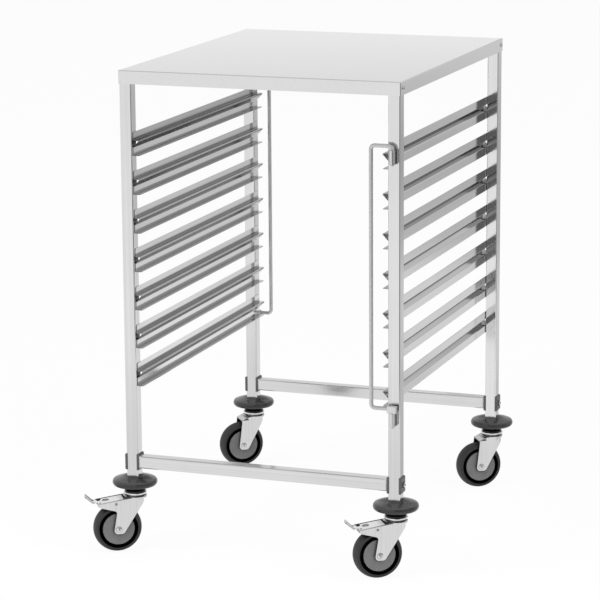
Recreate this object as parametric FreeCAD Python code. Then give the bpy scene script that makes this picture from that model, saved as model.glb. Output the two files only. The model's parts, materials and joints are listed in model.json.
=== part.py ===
import FreeCAD, Part
import math
import os

# Tray clearing trolley: square-tube posts, a folded worktop, tray rails, two swing bars and four casters.
# Millimetres. The origin is on the floor, midway between the posts. X right, Y to the rear, Z up.

# Frame
FRAME_WIDTH = 586.0
FRAME_DEPTH = 712.0
POST_SIZE = 25.0
POST_WALL = 1.5
POST_CORNER = 2.5
POST_LENGTH = 833.8
HOLE_CLEARANCE = 0.2
SEAT_CLEARANCE = 0.1

# Worktop
TOP_SHEET = 1.2
TOP_FLANGE = 27.0
TOP_CLEARANCE = 0.3
TOP_BEND = 2.2
TOP_SCREW_DROP = 13.5
TOP_SCREW_RADIUS = 2.5
TOP_SCREW_LENGTH = 9.0
TOP_SCREW_HEAD_RADIUS = 5.0
TOP_SCREW_HEAD_HEIGHT = 2.8

# Tray rails: a lip above a pressed bead, and a shelf under it
RAIL_LEVELS = 7
RAIL_FIRST_DROP = 124.0
RAIL_PITCH = 78.8
RAIL_HEIGHT = 48.0
RAIL_SHEET = 1.2
RAIL_LIP = 17.0
RAIL_BEAD = 14.0
RAIL_REACH = 13.0
RAIL_BEND = 1.5
RAIL_END_INSET = 6.0
RAIL_END_ROUND = 4.0

# Lower cross rails with their plugs, saddles and screws
CROSS_SIZE = 25.0
CROSS_WALL = 1.5
CROSS_CORNER = 2.5
CROSS_RISE = 19.0
PLUG_FLANGE = 3.0
PLUG_LENGTH = 24.0
SADDLE_THICK = 3.2
SADDLE_HEIGHT = 33.0
SADDLE_WRAP = 2.3
SADDLE_LIP = 1.4
SADDLE_CHAMFER = 1.8
TIE_RADIUS = 4.0
TIE_HEAD_RADIUS = 6.5
TIE_HEAD_HEIGHT = 4.0

# Swing bars with their sleeves and lugs
BAR_RADIUS = 4.0
BAR_BEND = 8.0
BAR_RISE = 191.0
BAR_SPAN = 521.0
FRONT_BAR_REACH = 43.0
REAR_BAR_REACH = 35.0
BAR_STANDOFF = 12.0
BAR_PIN_END = 3.0
SLEEVE_HEIGHT = 27.0
SLEEVE_RADIUS = 6.5
SLEEVE_FOOT_WIDTH = 8.0
SLEEVE_GAP = 0.3
BAR_RUNNING_FIT = 0.1
LUG_LENGTH = 21.0
LUG_WIDTH = 10.0
LUG_RISE = 5.5
LUG_CORNER = 3.0

# Caster stack, from the wheel up to the post
WHEEL_RADIUS = 50.0
FORK_HEADROOM = 15.0
CROWN_RISE = 2.1
BOSS_RISE = 1.0
CUP_GAP = 0.4
CUP_NECK_HEIGHT = 1.6
CUP_RING_HEIGHT = 4.9
SEAL_HEIGHT = 7.5
BUMPER_HEIGHT = 24.5

# Bumper, seal, cup and stem
BUMPER_RADIUS = 46.0
BUMPER_RIM = 13.0
BUMPER_NECK_RADIUS = 15.0
BUMPER_SEAT_MARGIN = 1.5
SEAL_RADIUS = 21.3
SEAL_EDGE = 1.6
CUP_RADIUS = 24.6
CUP_ROUND = 1.5
CUP_NECK_RADIUS = 19.5
STEM_RADIUS = 6.0
STEM_HEAD_RADIUS = 10.0
STEM_HEAD_HEIGHT = 5.0
STEM_GAP = 0.3
EXPANDER_CLEARANCE = 3.0
SWIVEL_RUNNING_FIT = 0.08

# Forks; those with brakes trail further
BRAKED_TRAIL = 38.3
PLAIN_TRAIL = 30.5
FORK_WIDTH = 43.0
FORK_SHEET = 2.5
FORK_BEND = 1.5
FORK_FRONT = 20.0
CROWN_RADIUS = 24.0
CROWN_EDGE = 1.5
CROWN_DEPTH = 12.0
BRAKED_LEVEL = 14.6
PLAIN_LEVEL = 19.0
FOOT_DROP = 9.8
FOOT_TOE = 10.0
FOOT_HEEL = 11.0
FOOT_ROUND = 8.0
LEG_TAIL = 3.0
PLAIN_TAIL_DROP = 6.5
RELIEF_START = 12.0
RELIEF_PEAK = 10.0
RELIEF_DROP = 7.0
RELIEF_RISE = 4.6
RELIEF_INSET = 1.5
SKIRT_REACH = 43.2
SKIRT_SLANT = 2.6
SKIRT_TOP_DROP = 8.6
SKIRT_END_DROP = 16.3
SKIRT_ROOT_DROP = 27.0
SKIRT_FILLET = 6.0
SKIRT_CORNER = 1.5

# Axle and wheel
AXLE_RADIUS = 4.0
AXLE_HEAD_RADIUS = 6.3
AXLE_HEAD_HEIGHT = 2.4
AXLE_NUT_RADIUS = 7.5
AXLE_NUT_HEIGHT = 6.0
AXLE_FIT = 0.1
HUB_SIDE_GAP = 0.8
HUB_BOSS_RADIUS = 11.0
HUB_DISC_RADIUS = 32.7
HUB_DISC_HALF = 16.3
HUB_WEB_HALF = 4.5
HUB_RIM_RADIUS = 38.9
HUB_RIM_WALL = 2.0
HUB_RIM_HALF = 9.0
TYRE_FIT = 0.05
TYRE_HALF = 16.6
TYRE_SHOULDER = 5.0

# Brake pedal of the front casters
PEDAL_PIN_RADIUS = 2.2
PEDAL_PIN_HEAD = 2.8
PEDAL_PIN_HEAD_HEIGHT = 0.6
PEDAL_PIN_AHEAD = 4.8
PEDAL_PIN_ABOVE_TYRE = 3.8
PEDAL_SIDE_GAP = 0.8
PEDAL_SHEET = 2.0
PEDAL_SINK = 0.8
PEDAL_FRONT_GAP = 3.0
PEDAL_EAR = 5.5
PEDAL_RUNNING_FIT = 0.08
PEDAL_HOLE_RADIUS = 2.4
PEDAL_HOLE_INSET = 6.0
PAD_AHEAD = 11.0
PAD_LENGTH = 8.0
PAD_HALF = 11.0
PAD_CLEARANCE = 0.3
TONGUE_FLAT = 8.0
TONGUE_LENGTH = 15.5
TONGUE_LIFT = 13.0
TONGUE_BEND = 4.0
TONGUE_HALF = 11.0
TONGUE_ROUND = 8.0

# Angle by which each caster trails, from the left towards the front
TRAIL_ANGLES = {"front_left": 33.0, "front_right": 34.0, "rear_left": 38.0, "rear_right": 35.0}
BRAKED = ("front_left", "front_right")

# Places worked out from the sizes above
AXLE_Z = WHEEL_RADIUS
TYRE_TOP = AXLE_Z + WHEEL_RADIUS
FORK_TOP = TYRE_TOP + FORK_HEADROOM
FORK_UNDER = FORK_TOP - FORK_SHEET
CROWN_TOP = FORK_TOP + CROWN_RISE
BOSS_TOP = CROWN_TOP + BOSS_RISE
CUP_BOTTOM = BOSS_TOP + CUP_GAP
CUP_RING = CUP_BOTTOM + CUP_NECK_HEIGHT
CUP_TOP = CUP_RING + CUP_RING_HEIGHT
BUMPER_BOTTOM = CUP_TOP + SEAL_HEIGHT
SKIRT_END = BRAKED_TRAIL + SKIRT_REACH
POST_BOTTOM = BUMPER_BOTTOM + BUMPER_HEIGHT
POST_TOP = POST_BOTTOM + POST_LENGTH
WORKTOP = POST_TOP + TOP_SHEET
POST_X = (FRAME_WIDTH - POST_SIZE) / 2
POST_Y = (FRAME_DEPTH - POST_SIZE) / 2
POST_BORE = POST_SIZE - 2 * POST_WALL
INNER_FACE = FRAME_WIDTH / 2 - POST_SIZE
TIE_Z = POST_BOTTOM + CROSS_RISE + CROSS_SIZE / 2
EXPANDER_TOP = TIE_Z - TIE_RADIUS - EXPANDER_CLEARANCE
SIDES = {"left": -1, "right": 1}
ENDS = {"front": -1, "rear": 1}

V = FreeCAD.Vector
UP = V(0, 0, 1)


# Basic shapes

def rounded_wire(points, radii, closed):
    """A wire through the points whose corners are rounded by tangent arcs."""
    count = len(points)
    starts = list(points)
    ends = list(points)
    arcs = [None] * count
    for i in range(count):
        inner = closed or 0 < i < count - 1
        if not inner or radii[i] <= 0:
            continue
        corner = points[i]
        back = (points[i - 1] - corner).normalize()
        ahead = (points[(i + 1) % count] - corner).normalize()
        half = back.getAngle(ahead) / 2
        middle_way = (back + ahead).normalize()
        starts[i] = corner + back * (radii[i] / math.tan(half))
        ends[i] = corner + ahead * (radii[i] / math.tan(half))
        middle = corner + middle_way * (radii[i] / math.sin(half) - radii[i])
        arcs[i] = Part.Arc(starts[i], middle, ends[i]).toShape()
    edges = []
    for i in range(count):
        if arcs[i] is not None:
            edges.append(arcs[i])
        if not closed and i == count - 1:
            break
        following = starts[(i + 1) % count]
        if ends[i].distanceToPoint(following) > 1e-6:
            edges.append(Part.LineSegment(ends[i], following).toShape())
    return Part.Wire(edges)


def prism(corners, direction):
    """A solid with a rounded outline; each corner is a point and its radius."""
    points = [corner for corner, radius in corners]
    radii = [radius for corner, radius in corners]
    return Part.Face(rounded_wire(points, radii, True)).extrude(direction)


def block(low, high):
    """A box between two corners."""
    size = [b - a for a, b in zip(low, high)]
    return Part.makeBox(size[0], size[1], size[2], V(*low))


def rounded_post(width, depth, radius, bottom, top):
    """An upright rectangular prism on the Z axis with rounded corners."""
    signs = ((-1, -1), (1, -1), (1, 1), (-1, 1))
    corners = [(V(sx * width / 2, sy * depth / 2, bottom), radius) for sx, sy in signs]
    return prism(corners, V(0, 0, top - bottom))


def spun(points, axis_point, axis):
    """A solid of revolution of a closed outline; a point may be the middle of an arc."""
    edges = []
    last = points[0]
    middle = None
    for point in points[1:] + points[:1]:
        if isinstance(point, tuple):
            middle = point[0]
            continue
        if middle is None:
            edges.append(Part.LineSegment(last, point).toShape())
        else:
            edges.append(Part.Arc(last, middle, point).toShape())
        last = point
        middle = None
    return Part.Face(Part.Wire(edges)).revolve(axis_point, axis, 360)


def strip(points, bend, sheet, direction):
    """A bent sheet: a line in the XZ plane, given its thickness and drawn along a direction."""
    ways = [(b - a).normalize() for a, b in zip(points, points[1:])]
    sides = []
    for offset in (sheet / 2, -sheet / 2):
        side = []
        for i, point in enumerate(points):
            before = ways[max(i - 1, 0)]
            after = ways[min(i, len(ways) - 1)]
            across_before = V(-before.z, 0, before.x)
            across_after = V(-after.z, 0, after.x)
            shift = (across_before + across_after) / (1 + across_before.dot(across_after))
            turn = before.x * after.z - before.z * after.x
            inner = 0 < i < len(points) - 1
            radius = bend - math.copysign(offset, offset * turn) if inner else 0
            side.append((point + shift * offset, radius))
        sides.append(side)
    return prism(sides[0] + sides[1][::-1], direction)


def rod(points, bend, radius):
    """A round bar along a line with rounded bends."""
    path = rounded_wire(points, [bend] * len(points), False)
    ring = Part.Circle(points[0], points[1] - points[0], radius).toShape()
    return path.makePipeShell([Part.Wire([ring])], True, False)


def lines_along(shape, way, test):
    """The straight edges of a shape that run along a direction and whose middle passes a test."""
    found = []
    for edge in shape.Edges:
        if len(edge.Vertexes) != 2 or edge.Curve.TypeId != "Part::GeomLine":
            continue
        ends = [vertex.Point for vertex in edge.Vertexes]
        aligned = abs((ends[1] - ends[0]).normalize().dot(way)) > 0.999
        if aligned and test((ends[0] + ends[1]) / 2):
            found.append(edge)
    return found


def button_screw(head_radius, head_height, shank_radius, shank_length):
    """A domed screw standing on the XY plane, with its shank down and a hexagon socket."""
    slope = math.sqrt(0.5)
    dome = [V(0, 0, 0), V(head_radius, 0, 0), (V(head_radius * slope, 0, head_height * slope),),
            V(0, 0, head_height)]
    screw = spun(dome, V(0, 0, 0), UP)
    screw = screw.fuse(Part.makeCylinder(shank_radius, shank_length, V(0, 0, -shank_length)))
    socket = Part.Face(Part.makePolygon(hexagon(0.38 * head_radius, 0.5 * head_height)))
    return screw.cut(socket.extrude(V(0, 0, head_height)))


def hexagon(radius, height):
    """The closed corners of a hexagon around the Z axis."""
    return [V(radius * math.cos(math.radians(60 * i)), radius * math.sin(math.radians(60 * i)), height)
            for i in range(7)]


def placed(shape, turn, x, y, z=0.0):
    """A copy turned about the Z axis and then moved."""
    copy = shape.copy()
    copy.rotate(V(0, 0, 0), UP, turn)
    copy.translate(V(x, y, z))
    return copy


def pointed(shape, side):
    """A copy whose Z axis points along plus or minus X."""
    copy = shape.copy()
    copy.rotate(V(0, 0, 0), V(0, 1, 0), 90 * side)
    return copy


def group(shapes):
    """Separate solids kept together in one node."""
    return Part.Compound(shapes)


# Frame

def posts():
    """Four square tubes, drilled for the worktop and cross rail screws."""
    tube = rounded_post(POST_SIZE, POST_SIZE, POST_CORNER, POST_BOTTOM, POST_TOP)
    inner_corner = max(POST_CORNER - POST_WALL, 0)
    tube = tube.cut(rounded_post(POST_BORE, POST_BORE, inner_corner, POST_BOTTOM, POST_TOP))
    tie_start = V(-POST_SIZE, 0, TIE_Z)
    tie_hole = Part.makeCylinder(TIE_RADIUS + HOLE_CLEARANCE, 2 * POST_SIZE, tie_start, V(1, 0, 0))
    nodes = {}
    for end, sy in ENDS.items():
        for side, sx in SIDES.items():
            top_hole = Part.makeCylinder(TOP_SCREW_RADIUS + HOLE_CLEARANCE, POST_SIZE,
                                         V(0, 0, WORKTOP - TOP_SCREW_DROP), V(sx, 0, 0))
            drilled = tube.cut([tie_hole, top_hole])
            nodes["post_%s_%s" % (end, side)] = placed(drilled, 0, sx * POST_X, sy * POST_Y)
    return nodes


def pan(half_width, half_depth, bottom, top, bend):
    """A block whose upper and upright edges are rounded."""
    solid = block((-half_width, -half_depth, bottom), (half_width, half_depth, top))
    edges = [edge for edge in solid.Edges if edge.CenterOfMass.z > bottom + 1e-3]
    return solid.makeFillet(bend, edges)


def worktop():
    """The folded sheet top, its turned-down flange and its screws."""
    inside_x = FRAME_WIDTH / 2 + TOP_CLEARANCE
    inside_y = FRAME_DEPTH / 2 + TOP_CLEARANCE
    outside_x = inside_x + TOP_SHEET
    bottom = WORKTOP - TOP_FLANGE
    top = pan(outside_x, inside_y + TOP_SHEET, bottom, WORKTOP, TOP_BEND)
    top = top.cut(pan(inside_x, inside_y, bottom, POST_TOP, TOP_BEND - TOP_SHEET))
    screws = []
    screw = button_screw(TOP_SCREW_HEAD_RADIUS, TOP_SCREW_HEAD_HEIGHT, TOP_SCREW_RADIUS, TOP_SCREW_LENGTH)
    for sx in SIDES.values():
        for sy in ENDS.values():
            place = V(sx * outside_x, sy * POST_Y, WORKTOP - TOP_SCREW_DROP)
            inward = V(-sx, 0, 0)
            top = top.cut(Part.makeCylinder(TOP_SCREW_RADIUS + HOLE_CLEARANCE, POST_SIZE, place, inward))
            screws.append(placed(pointed(screw, sx), 0, place.x, place.y, place.z))
    return {"top_plate": top, "top_screws": group(screws)}


# Tray rails

def bead_corner():
    """Where the two sides of the bead would meet if its tip were sharp, to reach the same depth."""
    slope = math.atan2(RAIL_BEAD, RAIL_REACH)
    half = slope / 2
    setback = RAIL_BEND / math.sin(half) * math.cos(half) - RAIL_BEND - RAIL_SHEET / 2
    return RAIL_REACH + setback


def tray_rail(side):
    """One rail at the height of the frame's origin, along the inner faces of the posts of one side."""
    mid = RAIL_SHEET / 2
    shelf = mid - RAIL_HEIGHT
    depths = ((mid, 0), (mid, -RAIL_LIP), (bead_corner(), -RAIL_LIP), (mid, -RAIL_LIP - RAIL_BEAD),
              (mid, shelf), (RAIL_REACH, shelf))
    start = RAIL_END_INSET - FRAME_DEPTH / 2
    length = FRAME_DEPTH - 2 * RAIL_END_INSET
    points = [V(side * (INNER_FACE - depth), start, z) for depth, z in depths]
    rail = strip(points, RAIL_BEND, RAIL_SHEET, V(0, length, 0))
    upper = lines_along(rail, V(1, 0, 0), lambda p: p.z > -1e-3)
    tip = INNER_FACE - RAIL_REACH
    shelf_tips = lines_along(rail, UP, lambda p: abs(abs(p.x) - tip) < 1e-3 and p.z < shelf + mid)
    return rail.makeFillet(RAIL_END_ROUND, upper + shelf_tips)


def tray_rails():
    """Every level of rails on both sides, numbered from the top."""
    nodes = {}
    for name, side in SIDES.items():
        rail = tray_rail(side)
        for level in range(RAIL_LEVELS):
            height = WORKTOP - RAIL_FIRST_DROP - level * RAIL_PITCH
            nodes["rail_%s_%d" % (name, level + 1)] = placed(rail, 0, 0, 0, height)
    return nodes


# Lower cross rails

def saddle():
    """A plastic saddle on the plus X side of a post that stands on the Z axis, at the tie screw."""
    outer = POST_SIZE / 2 + SADDLE_THICK
    half_depth = POST_SIZE / 2 + SADDLE_LIP
    half_height = SADDLE_HEIGHT / 2
    solid = block((POST_SIZE / 2 - SADDLE_WRAP, -half_depth, TIE_Z - half_height),
                  (outer, half_depth, TIE_Z + half_height))
    edges = [edge for edge in solid.Edges if edge.CenterOfMass.x > outer - 1e-3]
    solid = solid.makeChamfer(SADDLE_CHAMFER, edges)
    post = rounded_post(POST_SIZE, POST_SIZE, POST_CORNER, TIE_Z - SADDLE_HEIGHT, TIE_Z + SADDLE_HEIGHT)
    hole = Part.makeCylinder(TIE_RADIUS + HOLE_CLEARANCE, POST_SIZE, V(0, 0, TIE_Z), V(1, 0, 0))
    return solid.cut([post, hole])


def cross_section(size, corner, start, end):
    """A rounded square bar along X at the height of the tie screws."""
    bar = rounded_post(size, size, corner, start, end)
    bar.rotate(V(0, 0, 0), V(0, 1, 0), 90)
    bar.translate(V(0, 0, TIE_Z))
    return bar


def cross_rails():
    """The front and rear cross rails, with plugs, saddles and the screws that draw them to the posts."""
    end = INNER_FACE - SADDLE_THICK
    tube_end = end - PLUG_FLANGE
    bore = CROSS_SIZE - 2 * CROSS_WALL
    inner_corner = max(CROSS_CORNER - CROSS_WALL, 0)
    tube = cross_section(CROSS_SIZE, CROSS_CORNER, -tube_end, tube_end)
    tube = tube.cut(cross_section(bore, inner_corner, -tube_end, tube_end))
    plug = cross_section(CROSS_SIZE, CROSS_CORNER, tube_end, end)
    plug = plug.fuse(cross_section(bore - 2 * SEAT_CLEARANCE, inner_corner, tube_end - PLUG_LENGTH, tube_end))
    plug = plug.removeSplitter()
    plug = plug.cut(Part.makeCylinder(TIE_RADIUS + SEAT_CLEARANCE, FRAME_WIDTH, V(0, 0, TIE_Z), V(1, 0, 0)))
    head_x = FRAME_WIDTH / 2 + SADDLE_THICK
    screw = button_screw(TIE_HEAD_RADIUS, TIE_HEAD_HEIGHT, TIE_RADIUS, head_x - tube_end + PLUG_LENGTH)
    screw = placed(pointed(screw, 1), 0, head_x, 0, TIE_Z)
    seat = saddle()
    nodes = {}
    plugs, inner, outer, screws = [], [], [], []
    for name, sy in ENDS.items():
        nodes["cross_rail_" + name] = placed(tube, 0, 0, sy * POST_Y)
        for turn, sx in ((0, 1), (180, -1)):
            plugs.append(placed(plug, turn, 0, sy * POST_Y))
            screws.append(placed(screw, turn, 0, sy * POST_Y))
            outer.append(placed(seat, turn, sx * POST_X, sy * POST_Y))
            inner.append(placed(seat, turn + 180, sx * POST_X, sy * POST_Y))
    nodes["cross_rail_plugs"] = group(plugs)
    nodes["inner_saddles"] = group(inner)
    nodes["outer_saddles"] = group(outer)
    nodes["tie_screws"] = group(screws)
    return nodes


# Swing bars

def swing_bar(reach):
    """A bar at the front right post, its lug and its two sleeves, with the pin on the Z axis."""
    low = POST_BOTTOM + BAR_RISE
    high = low + BAR_SPAN
    drop = BAR_BEND + SLEEVE_GAP
    pin = drop + SLEEVE_HEIGHT + BAR_PIN_END
    route = ((0, low - pin), (0, low), (-reach, low), (-reach, high), (0, high), (0, high - pin))
    bar = rod([V(x, 0, z) for x, z in route], BAR_BEND, BAR_RADIUS)
    lug = rounded_post(LUG_LENGTH, LUG_WIDTH, LUG_CORNER, low - BAR_BEND, low + LUG_RISE).cut(bar)
    sleeves = []
    for arm in (low, high):
        top = arm - drop
        sleeve = Part.makeCylinder(SLEEVE_RADIUS, SLEEVE_HEIGHT, V(0, 0, top - SLEEVE_HEIGHT))
        half = SLEEVE_FOOT_WIDTH / 2
        foot = block((-half, 0, top - SLEEVE_HEIGHT), (half, BAR_STANDOFF, top))
        hole = Part.makeCylinder(BAR_RADIUS + BAR_RUNNING_FIT, SLEEVE_HEIGHT, V(0, 0, top - SLEEVE_HEIGHT))
        sleeves.append(sleeve.fuse(foot).removeSplitter().cut(hole))
    return bar, lug, group(sleeves)


def swing_bars():
    """The front bar on the right, and the rear bar on the left, turned about by half a turn."""
    nodes = {}
    for name, reach, turn in (("front", FRONT_BAR_REACH, 0), ("rear", REAR_BAR_REACH, 180)):
        way = 1 if turn == 0 else -1
        pieces = swing_bar(reach)
        for piece, suffix in zip(pieces, ("_bar", "_bar_lug", "_bar_sleeves")):
            nodes[name + suffix] = placed(piece, turn, way * POST_X, -way * (FRAME_DEPTH / 2 + BAR_STANDOFF))
    return nodes


# Casters, each made around the Z axis with the wheel trailing along plus X

def bumper():
    """A lens-shaped disc between the post and the caster."""
    bore = STEM_RADIUS + HOLE_CLEARANCE
    seat = POST_SIZE * math.sqrt(0.5) + BUMPER_SEAT_MARGIN
    rim_mid = BUMPER_BOTTOM + BUMPER_HEIGHT / 2
    rim_low = rim_mid - BUMPER_RIM / 2
    rim_high = rim_mid + BUMPER_RIM / 2
    shoulder = BUMPER_RADIUS - BUMPER_RIM / 4
    bulge = 0.62
    under = V((BUMPER_NECK_RADIUS + shoulder) / 2, 0, BUMPER_BOTTOM + (rim_low - BUMPER_BOTTOM) * (1 - bulge))
    over = V((seat + shoulder) / 2, 0, rim_high + (POST_BOTTOM - rim_high) * bulge)
    outline = [V(bore, 0, BUMPER_BOTTOM), V(BUMPER_NECK_RADIUS, 0, BUMPER_BOTTOM), (under,),
               V(shoulder, 0, rim_low), (V(BUMPER_RADIUS, 0, rim_mid),), V(shoulder, 0, rim_high), (over,),
               V(seat, 0, POST_BOTTOM), V(bore, 0, POST_BOTTOM)]
    return spun(outline, V(0, 0, 0), UP)


def swivel_cup():
    """The bright ring over the swivel bearing, on a narrower neck."""
    bore = STEM_RADIUS + SEAT_CLEARANCE
    brim = CUP_RADIUS - CUP_ROUND
    outline = [V(bore, 0, CUP_BOTTOM), V(CUP_NECK_RADIUS, 0, CUP_BOTTOM), V(CUP_NECK_RADIUS, 0, CUP_RING),
               V(brim, 0, CUP_RING), (V(CUP_RADIUS, 0, (CUP_RING + CUP_TOP) / 2),), V(brim, 0, CUP_TOP),
               V(bore, 0, CUP_TOP)]
    return spun(outline, V(0, 0, 0), UP)


def swivel_seal():
    """The rubber cone between the cup and the bumper."""
    bore = STEM_RADIUS + SEAT_CLEARANCE
    neck = BUMPER_NECK_RADIUS
    outline = [V(bore, 0, CUP_TOP), V(SEAL_RADIUS, 0, CUP_TOP), V(SEAL_RADIUS, 0, CUP_TOP + SEAL_EDGE),
               V(neck, 0, (CUP_TOP + BUMPER_BOTTOM) / 2 + SEAL_EDGE), V(neck, 0, BUMPER_BOTTOM),
               V(bore, 0, BUMPER_BOTTOM)]
    return spun(outline, V(0, 0, 0), UP)


def stem():
    """The pin that the fork turns on, with a head under the fork and a shank in the post."""
    head_top = FORK_UNDER - STEM_GAP
    head = Part.makeCylinder(STEM_HEAD_RADIUS, STEM_HEAD_HEIGHT, V(0, 0, head_top - STEM_HEAD_HEIGHT))
    shank = Part.makeCylinder(STEM_RADIUS, EXPANDER_TOP - head_top, V(0, 0, head_top))
    return head.fuse(shank).removeSplitter()


def expander():
    """The square plug that holds the stem in the post."""
    size = POST_BORE - 2 * SEAT_CLEARANCE
    corner = max(POST_CORNER - POST_WALL, 0)
    plug = rounded_post(size, size, corner, POST_BOTTOM, EXPANDER_TOP)
    return plug.cut(Part.makeCylinder(STEM_RADIUS + SEAT_CLEARANCE, POST_TOP, V(0, 0, 0)))


def across(radius, low, high, x, z):
    """A cylinder along Y."""
    return Part.makeCylinder(radius, high - low, V(x, low, z), V(0, 1, 0))


def slab(points, half):
    """A plate with a straight-sided outline in the XZ plane, centred on it and drawn along Y."""
    return prism([(V(x, -half, z), 0) for x, z in points], V(0, 2 * half, 0))


def skirt_top(x):
    """The height of the sloping top of a braked fork."""
    return FORK_TOP - SKIRT_TOP_DROP * (x - BRAKED_LEVEL) / (SKIRT_END - BRAKED_LEVEL)


def fork_outline(braked):
    """The side view of a fork: a leg to the axle and, with a brake, a skirt that holds the pedal."""
    trail = BRAKED_TRAIL if braked else PLAIN_TRAIL
    foot = AXLE_Z - FOOT_DROP
    tail = trail + LEG_TAIL
    leg = [(trail + FOOT_HEEL, foot, FOOT_ROUND), (trail - FOOT_TOE, foot, FOOT_ROUND),
           (-FORK_FRONT, FORK_TOP, 0)]
    if not braked:
        return leg + [(PLAIN_LEVEL, FORK_TOP, 0), (tail, FORK_TOP - PLAIN_TAIL_DROP, 0)]
    return leg + [(BRAKED_LEVEL, FORK_TOP, 0), (SKIRT_END, skirt_top(SKIRT_END), 0),
                  (SKIRT_END - SKIRT_SLANT, FORK_TOP - SKIRT_END_DROP, SKIRT_CORNER),
                  (tail, FORK_TOP - SKIRT_ROOT_DROP, SKIRT_FILLET)]


def fork_hollow(braked):
    """The room for the wheel between the legs of a fork, under its top plate."""
    gap = FORK_WIDTH / 2 - FORK_SHEET
    outline = fork_outline(braked)
    level, tail = outline[3][:2], outline[4][:2]
    slope = (tail[1] - level[1]) / (tail[0] - level[0])
    beyond = tail[0] + WHEEL_RADIUS
    end = tail[1] + slope * WHEEL_RADIUS - FORK_SHEET
    return slab([(-FORK_WIDTH, 0), (beyond, 0), (beyond, end), (level[0], FORK_UNDER),
                 (-FORK_WIDTH, FORK_UNDER)], gap)


def fork_crown():
    """The round crown of a fork, with a raised boss around the stem."""
    bottom = CROWN_TOP - CROWN_DEPTH
    outline = [V(0, 0, bottom), V(FORK_WIDTH / 2, 0, bottom), V(CROWN_RADIUS, 0, CROWN_TOP - CROWN_EDGE),
               V(CROWN_RADIUS - CROWN_EDGE, 0, CROWN_TOP), V(CUP_NECK_RADIUS, 0, CROWN_TOP),
               V(CUP_NECK_RADIUS, 0, BOSS_TOP), V(0, 0, BOSS_TOP)]
    return spun(outline, V(0, 0, 0), UP)


def fork(braked):
    """A pressed steel fork with a round crown, around its swivel."""
    half = FORK_WIDTH / 2
    gap = half - FORK_SHEET
    trail = BRAKED_TRAIL if braked else PLAIN_TRAIL
    far = 2 * SKIRT_END
    corners = [(V(x, -half, z), radius) for x, z, radius in fork_outline(braked)]
    body = prism(corners, V(0, FORK_WIDTH, 0))
    level, tail = [V(x, 0, z) for x, z, radius in fork_outline(braked)[3:5]]
    body = body.makeFillet(FORK_BEND, lines_along(body, (tail - level).normalize(), lambda p: p.z > tail.z))
    plan = Part.makeCylinder(CROWN_RADIUS, FORK_TOP).fuse(block((0, -half, 0), (far, half, FORK_TOP)))
    body = body.common(plan)
    body = body.fuse(fork_crown()).removeSplitter().cut(fork_hollow(braked))
    holes = [Part.makeCylinder(STEM_RADIUS + SWIVEL_RUNNING_FIT, BOSS_TOP),
             across(AXLE_RADIUS + AXLE_FIT, -half, half, trail, AXLE_Z)]
    if braked:
        pin_x, pin_z = pedal_pivot()
        holes.append(across(PEDAL_PIN_RADIUS + SEAT_CLEARANCE, -half, half, pin_x, pin_z))
        holes.append(block((CROWN_RADIUS, -gap, 0), (far, gap, BOSS_TOP)))
    else:
        low = FORK_TOP - RELIEF_DROP
        notch = slab([(trail + LEG_TAIL / 2, low), (trail - RELIEF_START, low),
                      (trail - RELIEF_PEAK, low + RELIEF_RISE)], half)
        holes.append(notch.cut(block((0, RELIEF_INSET - gap, 0), (far, gap - RELIEF_INSET, FORK_TOP))))
    return body.cut(holes)


def axle():
    """The wheel bolt and its nut."""
    half = FORK_WIDTH / 2
    grip = FORK_WIDTH + AXLE_NUT_HEIGHT
    bolt = button_screw(AXLE_HEAD_RADIUS, AXLE_HEAD_HEIGHT, AXLE_RADIUS, grip)
    bolt.rotate(V(0, 0, 0), V(1, 0, 0), -90)
    bolt.translate(V(0, half, AXLE_Z))
    nut = Part.Face(Part.makePolygon(hexagon(AXLE_NUT_RADIUS, 0))).extrude(V(0, 0, AXLE_NUT_HEIGHT))
    nut = nut.cut(Part.makeCylinder(AXLE_RADIUS + AXLE_FIT, AXLE_NUT_HEIGHT))
    nut.rotate(V(0, 0, 0), V(1, 0, 0), 90)
    nut.translate(V(0, -half, AXLE_Z))
    return group([bolt, nut])


def wheel_point(radius, offset):
    """A point of a wheel's section, by its distance from the axle and from the wheel's middle."""
    return V(0, offset, AXLE_Z + radius)


def spun_wheel(half_section):
    """A wheel part made from one half of its section, mirrored about the wheel's middle."""
    near = [wheel_point(radius, offset) for radius, offset in half_section]
    far = [wheel_point(radius, -offset) for radius, offset in half_section]
    return spun(near + far[::-1], V(0, 0, AXLE_Z), V(0, 1, 0))


def hub():
    """The plastic wheel centre: a boss on the axle, a flat disc, a deep groove and a rim for the tyre."""
    boss_half = FORK_WIDTH / 2 - FORK_SHEET - HUB_SIDE_GAP
    rim_inside = HUB_RIM_RADIUS - HUB_RIM_WALL
    section = ((AXLE_RADIUS + AXLE_FIT, boss_half), (HUB_BOSS_RADIUS, boss_half),
               (HUB_BOSS_RADIUS, HUB_DISC_HALF), (HUB_DISC_RADIUS, HUB_DISC_HALF),
               (HUB_DISC_RADIUS, HUB_WEB_HALF), (rim_inside, HUB_WEB_HALF), (rim_inside, HUB_RIM_HALF),
               (HUB_RIM_RADIUS, HUB_RIM_HALF))
    return spun_wheel(section)


def tyre():
    """A crowned solid tyre."""
    bore = HUB_RIM_RADIUS + TYRE_FIT
    shoulder = WHEEL_RADIUS - TYRE_SHOULDER
    near = [wheel_point(bore, -TYRE_HALF), wheel_point(shoulder, -TYRE_HALF)]
    crown = (wheel_point(WHEEL_RADIUS, 0),)
    far = [wheel_point(shoulder, TYRE_HALF), wheel_point(bore, TYRE_HALF)]
    return spun(near + [crown] + far, V(0, 0, AXLE_Z), V(0, 1, 0))


def pedal_pivot():
    """Where the brake pedal's pin crosses the fork."""
    return BRAKED_TRAIL + PEDAL_PIN_AHEAD, TYRE_TOP + PEDAL_PIN_ABOVE_TYRE


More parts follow.
